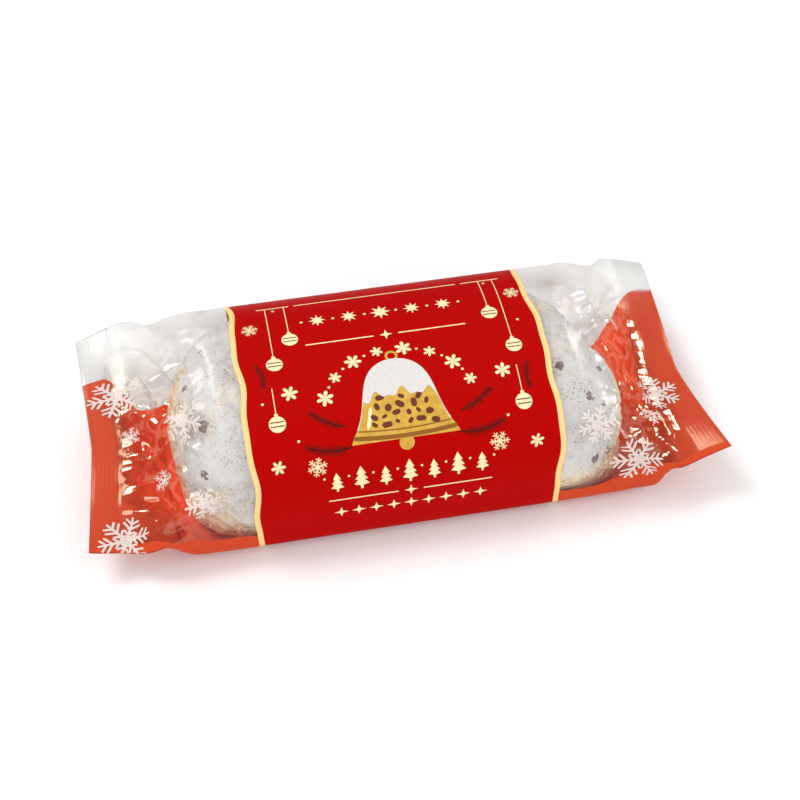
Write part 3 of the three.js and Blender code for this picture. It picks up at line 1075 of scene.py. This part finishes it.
def firTwig(bend, length=14, needles=9):
    def spine(t):
        return np.array([t * length, bend * math.sin(math.pi * t)])

    shapes = [stroke([spine(t) for t in np.linspace(0, 1, 12)], [0.55] * 11 + [0.25])]
    for k in range(needles):
        t = 0.1 + 0.88 * k / needles
        way = spine(t + 0.02) - spine(t)
        ahead = math.atan2(way[1], way[0])
        for side in (-1, 1):
            lean = ahead + side * 0.62
            tip = spine(t) + (3.0 - t) * np.array([math.cos(lean), math.sin(lean)])
            shapes.append(stroke([spine(t), tip], [0.4, 0.2], 0.01))
    return joined(shapes)


# where things hang, lie and stand on the band, as u, w; its middle is at u -1
plan = {
    "middle": -1, "beam": 24.0, "rules": (3.2, -51.0), "stars": 13.6, "smallStars": -56.6,
    "trees": (7.4, -47.6), "dotsOverTrees": -42.6,  # their spacing and height
    "arc": (23.5, 22, -25),  # half width, height and foot of the arc over the bell
    "hung": [(-36.5, -3.0), (-30.5, 6.5), (32.5, 6.5), (37.0, -8.0), (-38.5, -24.0), (36.0, -27.5)],
    "strings": [None, None, None, None, 12.0, 12.0],  # their lengths, or up to the beam
}


# every motif with its ink and its places: u, w, size, turn in degrees
def printPlan():
    big = branchedFlake([(2.6, 2.6), (4.9, 3.9), (7.2, 3.0)], 1.9)
    fine = branchedFlake([(3.6, 3.0), (6.4, 3.4)], 2.2, 1.25)
    ball, stripes = bauble()
    bellBody, snow, berries, lip, light = bellShapes()
    star = disc((0, 0), starReach(8, 3.0, 1.35), 16)
    fourStar = disc((0, 0), starReach(4, 2.6, 0.85), 8)
    dot = disc((0, 0), 1.0, 8)
    middle, beam = plan["middle"], plan["beam"]
    spacing, foot = plan["trees"]
    strings = joined([stroke([(u, w + 3.4), (u, w + long if long else beam)], 0.28)
                      for (u, w), long in zip(plan["hung"], plan["strings"])])
    rules = joined([stroke([(side * 4.0 + middle, w), (side * 25.0 + middle, w)], 0.45)
                    for side in (-1, 1) for w in plan["rules"]]
                   + [stroke([(a, beam), (b, beam)], 0.5) for a, b in ((-27, 25), (-39, -29), (27, 39))])
    wide, high, low = plan["arc"]
    angles = np.radians(np.linspace(19, 161, 15))
    arc = [(middle + wide * math.cos(a), low + high * math.sin(a)) for a in angles]
    between = [place for k, place in enumerate(arc) if k % 2 and k != 7]  # the bell's loop is at 7
    baubles = [(u, w, 0.95, 0) for u, w in plan["hung"]]
    once = [(middle, 0, 1, 0)]
    dots = [(x, plan["stars"], 0.5, 0) for x in (-26, -16, -6, 4, 14, 24)]
    dots += [(u, w, 0.45, 0) for u, w in between]
    dots += [(-34, 22, 0.5, 0), (34, 22, 0.5, 0), (-42, -17, 0.45, 0), (40.5, 2, 0.45, 0),
             (-33, -30, 0.45, 0), (30.5, -31, 0.45, 0), (-8, 38, 0.5, 0), (6, 38, 0.5, 0),
             (-12, 37.4, 0.4, 0), (10, 37.4, 0.4, 0)]
    dots += [(middle + spacing * (k + 0.5), plan["dotsOverTrees"], 0.4, 0) for k in range(-4, 4)]
    return [
        ("white", big, [(-95.4, 12.9, 1.0, 8), (95, -22.3, 0.78, 20), (71.6, -52.3, 0.98, 2),
                        (-95, -50.5, 0.86, 14)]),
        ("white", fine, [(-68.6, -14.6, 0.78, 25), (-92.8, -8.6, 0.42, 10), (86.5, -33.0, 0.42, 5),
                         (57.5, -38.0, 0.6, 12), (-63.9, -43.8, 0.58, 3), (-80, -32, 0.36, 22),
                         (80, 8, 0.4, 9), (58, 6, 0.34, 16)]),
        # these two flakes lie in shade on the far side and use the lighter, thinner copy of the white ink:
        # painted light
        ("faint", fine, [(62.4, 53.3, 0.5, 18), (-57, 40, 0.5, 12)]),
        ("cream", fine, [(-42.3, 13.0, 0.26, 10), (41.3, 14.5, 0.26, 4), (-28.5, -38.5, 0.3, 16),
                         (27.0, -38.5, 0.3, 0), (-1, 38, 0.55, 0)]),
        ("cream", petalFlake(),
         [(u, w, 0.27 if k % 2 else 0.2, 11 * k) for k, (u, w) in enumerate(arc[::2])]
         + [(-33.5, -14.5, 0.26, 8), (31.5, -16.5, 0.26, 21), (-40, -37, 0.22, 5), (38.5, -40, 0.22, 15)]),
        ("cream", star,
         [(x, plan["stars"], 1.1 if x == middle else 0.9, 0) for x in (-21, -11, -1, 9, 19)]),
        ("cream", fourStar, [(middle + 5.4 * k, plan["smallStars"], 0.85, 0) for k in range(-4, 5)]
         + [(middle, w, 0.8, 0) for w in plan["rules"]]),
        ("cream", dot, dots),
        ("cream", firTree(),
         [(middle + spacing * k, foot, 0.78 if k % 2 else 0.92, 0) for k in range(-3, 4)]),
        ("cream", ball, baubles),
        ("berry", stripes, baubles),
        ("cream", joined([rules, strings]), [(0, 0, 1, 0)]),
        ("twig", firTwig(1.2), [(-17.5, -34, 1, 172), (-18.5, -27.5, 0.85, 150), (-42.5, -2, 0.7, 280)]),
        ("twig", firTwig(-1.2), [(15.5, -34, 1, 8), (16.5, -27.5, 0.85, 30), (40, -14, 0.7, 262)]),
        *zip(("bell", "snow", "berry", "lip", "cream"), (bellBody, snow, berries, lip, light), 5 * [once]),
    ]


def inkMaterial(name):
    material = newMaterial(name + "Ink")
    colour = (*inks[name], 1)
    if name == "bell":
        crumb = cloud(objectPlace(), 2.4, 5, 0.75, 0.3, 0.7)
        colour = blend(crumb, inks["bellShade"], inks["bell"])
    elif name in ("cream", "white", "snow"):
        worn = cloud(objectPlace(), 1.2, 3, 0.6, 0.3, 0.7)
        colour = blend(worn, tuple(0.9 * c for c in inks[name]), inks[name])
    skin = principled(colour, 0.42, 0.12)
    if name in inks["cover"]:
        bare = addNode("ShaderNodeBsdfTransparent").outputs[0]
        skin = mixShaders(inks["cover"][name], bare, skin)
    return endMaterial(material, skin)


# the tree that sets a motif on each point, then bends it all onto the film by the flat map
def layingTree():
    given = newTree("layOnFilm", {
        "Geometry": "Geometry", "Motif": "Object", "Film": "Object", "Ink": "Material", "Lift": "Float",
        "Length": "Float", "Round": "Float"})
    turn = addNode("ShaderNodeCombineXYZ", {2: attribute("turn")}).outputs[0]
    turn = addNode("FunctionNodeEulerToRotation", {0: turn}).outputs[0]
    size = attribute("size")
    size = addNode("ShaderNodeCombineXYZ", {0: size, 1: size, 2: 1.0}).outputs[0]
    real = scatter(given["Geometry"], given["Motif"], turn, size)
    here = addNode("GeometryNodeInputPosition").outputs[0]
    flat = addNode("ShaderNodeSeparateXYZ", {0: here}).outputs
    share = [plus(calc("DIVIDE", flat[k], given[name]), 0.5)
             for k, name in ((0, "Length"), (1, "Round"))]
    where = addNode("ShaderNodeCombineXYZ", {0: share[0], 1: share[1]}).outputs[0]
    sheet = shapeOf(given["Film"])

    def onFilm(value):
        return addNode("GeometryNodeSampleUVSurface", {
            "Mesh": sheet, "Value": value, "UV Map": attribute("flat", "FLOAT_VECTOR"), "Sample UV": where,
        }, data_type="FLOAT_VECTOR").outputs

    # what would hang over the cut ends of the film is left off
    spot = onFilm(here)
    beyond = addNode("FunctionNodeBooleanMath", {0: spot["Is Valid"]}, operation="NOT").outputs[0]
    kept = addNode("GeometryNodeDeleteGeometry", {"Geometry": real, "Selection": beyond}).outputs[0]
    out = onFilm(addNode("GeometryNodeInputNormal").outputs[0])["Value"]
    height = times(plus(flat["Z"], given["Lift"]), mm)
    away = addNode("ShaderNodeVectorMath", {0: out, "Scale": height}, operation="SCALE").outputs[0]
    laid = addNode("GeometryNodeSetPosition", {"Geometry": kept, "Position": spot["Value"], "Offset": away})
    return endTree(laid.outputs[0], given["Ink"])


# runs a node tree on a fresh mesh of points and gives back the corners and faces it makes
def runTree(tree, points, attributes, values):
    mesh = bpy.data.meshes.new("points")
    mesh.from_pydata([tuple(p) for p in points], [], [])
    for name, kind, data in attributes:
        layer = mesh.attributes.new(name, kind, "POINT")
        field = "vector" if kind == "FLOAT_VECTOR" else "value"
        layer.data.foreach_set(field, np.array(data, np.float32).reshape(-1))
    obj = addObject("points", mesh)
    modifier = obj.modifiers.new("laid", "NODES")
    modifier.node_group = tree
    for socket in tree.interface.items_tree:
        if socket.item_type == "SOCKET" and socket.in_out == "INPUT" and socket.name in values:
            modifier[socket.identifier] = values[socket.name]
    depsgraph = bpy.context.evaluated_depsgraph_get()
    made = bpy.data.meshes.new_from_object(obj.evaluated_get(depsgraph), depsgraph=depsgraph)
    verts = vertexVectors(made).astype(float)
    faces = [tuple(p.vertices) for p in made.polygons]
    bpy.data.objects.remove(obj)
    bpy.data.meshes.remove(made)
    return verts, faces


def addPrint(onto):
    tree = layingTree()
    pieces = {}
    for ink, shape, places in printPlan():
        source = newObject("motif", *shape)
        places = np.array(places, float)
        laid = runTree(tree, np.column_stack([places[:, :2], np.zeros(len(places))]),
                       [("size", "FLOAT", places[:, 2]), ("turn", "FLOAT", np.radians(places[:, 3]))],
                       {"Motif": source, "Film": onto, "Lift": inks["lift"],
                        "Length": 2 * wrap["halfLength"], "Round": float(filmRound)})
        bpy.data.objects.remove(source)
        pieces.setdefault(ink, []).append(laid)
    return [newObject(ink + "Print", *joined(parts), inkMaterial(ink)) for ink, parts in pieces.items()]


note("loaf")
loaf = addLoaf(crustMaterial())
note("raisins")
fruit = addRaisins(loaf)
note("film")
wrapper, seam = addFilm(filmMaterial())
note("print")
motifs = addPrint(wrapper)

for obj in (loaf, fruit, wrapper, seam, *motifs):
    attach(obj, "root")
    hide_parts("pack")


studio = {
    "floor": (0.94, 0.94, 0.94), "air": 0.66,
    # lamps: place, size across and along, power
    "key": ((-0.42, 0.25, 0.85), (0.42, 0.42), 4.0),
    "fill": ((0.6, -0.35, 0.7), (0.5, 0.5), 1.5),
    "front": ((-0.1, -0.75, 0.45), (0.3, 0.2), 1.7),
    # these show in the gloss of the film only
    "leftStrip": ((-0.56, 0.56, 0.41), (0.14, 0.32), 4.6),
    "rightStrip": ((0.61, 0.42, 0.40), (0.18, 0.28), 5.2),
    "sideStrip": ((0.86, -0.04, 0.24), (0.3, 0.2), 5.0),
}

cameraPlace = {
    "elevation": 50.0, "azimuth": -10.5, "distance": 480.0, "lens": 67.6,
    "aim": (2.6, -12.05, 18.0), "aimPixel": (405, 415), "frame": 800, "sensor": 36,
}


def addStudio():
    paper = endMaterial(newMaterial("paper"), principled((*studio["floor"], 1), 0.9))
    corners = [(-3, -3, 0), (3, -3, 0), (3, 3, 0), (-3, 3, 0)]
    floor = newObject("floor", corners, [(0, 1, 2, 3)], paper)
    world = bpy.data.worlds.new("air")
    world.use_nodes = True
    sky = world.node_tree.nodes["Background"].inputs
    sky["Color"].default_value = (1, 1, 1, 1)
    sky["Strength"].default_value = studio["air"]
    world.cycles_visibility.glossy = False  # only the lamps show in the gloss of the film
    bpy.context.scene.world = world
    bpy.context.scene.view_settings.view_transform = "Standard"
    for name in ("key", "fill", "front", "leftStrip", "rightStrip", "sideStrip"):
        place, size, power = studio[name]
        data = bpy.data.lights.new(name, "AREA")
        data.shape = "RECTANGLE"
        data.size, data.size_y = size
        data.energy = power
        lamp = addObject(name, data)
        lamp.location = place
        lamp.visible_diffuse = not name.endswith("Strip")
        lamp.visible_glossy = name not in ("fill", "front")
        lamp.rotation_euler = (-Vector(place)).to_track_quat("-Z", "Y").to_euler()


def addCamera():
    c = cameraPlace
    el, az = math.radians(c["elevation"]), math.radians(c["azimuth"])
    back = Vector((math.sin(az) * math.cos(el), -math.cos(az) * math.cos(el), math.sin(el)))
    right = Vector((math.cos(az), math.sin(az), 0))
    up = back.cross(right)
    perPixel = c["sensor"] / c["lens"] / c["frame"]
    aside = (c["aimPixel"][0] - c["frame"] / 2) * perPixel
    upwards = (c["frame"] / 2 - c["aimPixel"][1]) * perPixel
    place = Vector(c["aim"]) - (right * aside + up * upwards - back) * c["distance"]
    data = bpy.data.cameras.new("camera")
    data.lens = c["lens"]
    data.sensor_width = c["sensor"]
    data.clip_start = 0.01
    camera = addObject("camera", data)
    camera.location = place * mm
    camera.rotation_euler = (math.radians(90) - el, 0, az)
    bpy.context.scene.camera = camera


addStudio()
addCamera()

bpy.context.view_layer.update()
note("done")
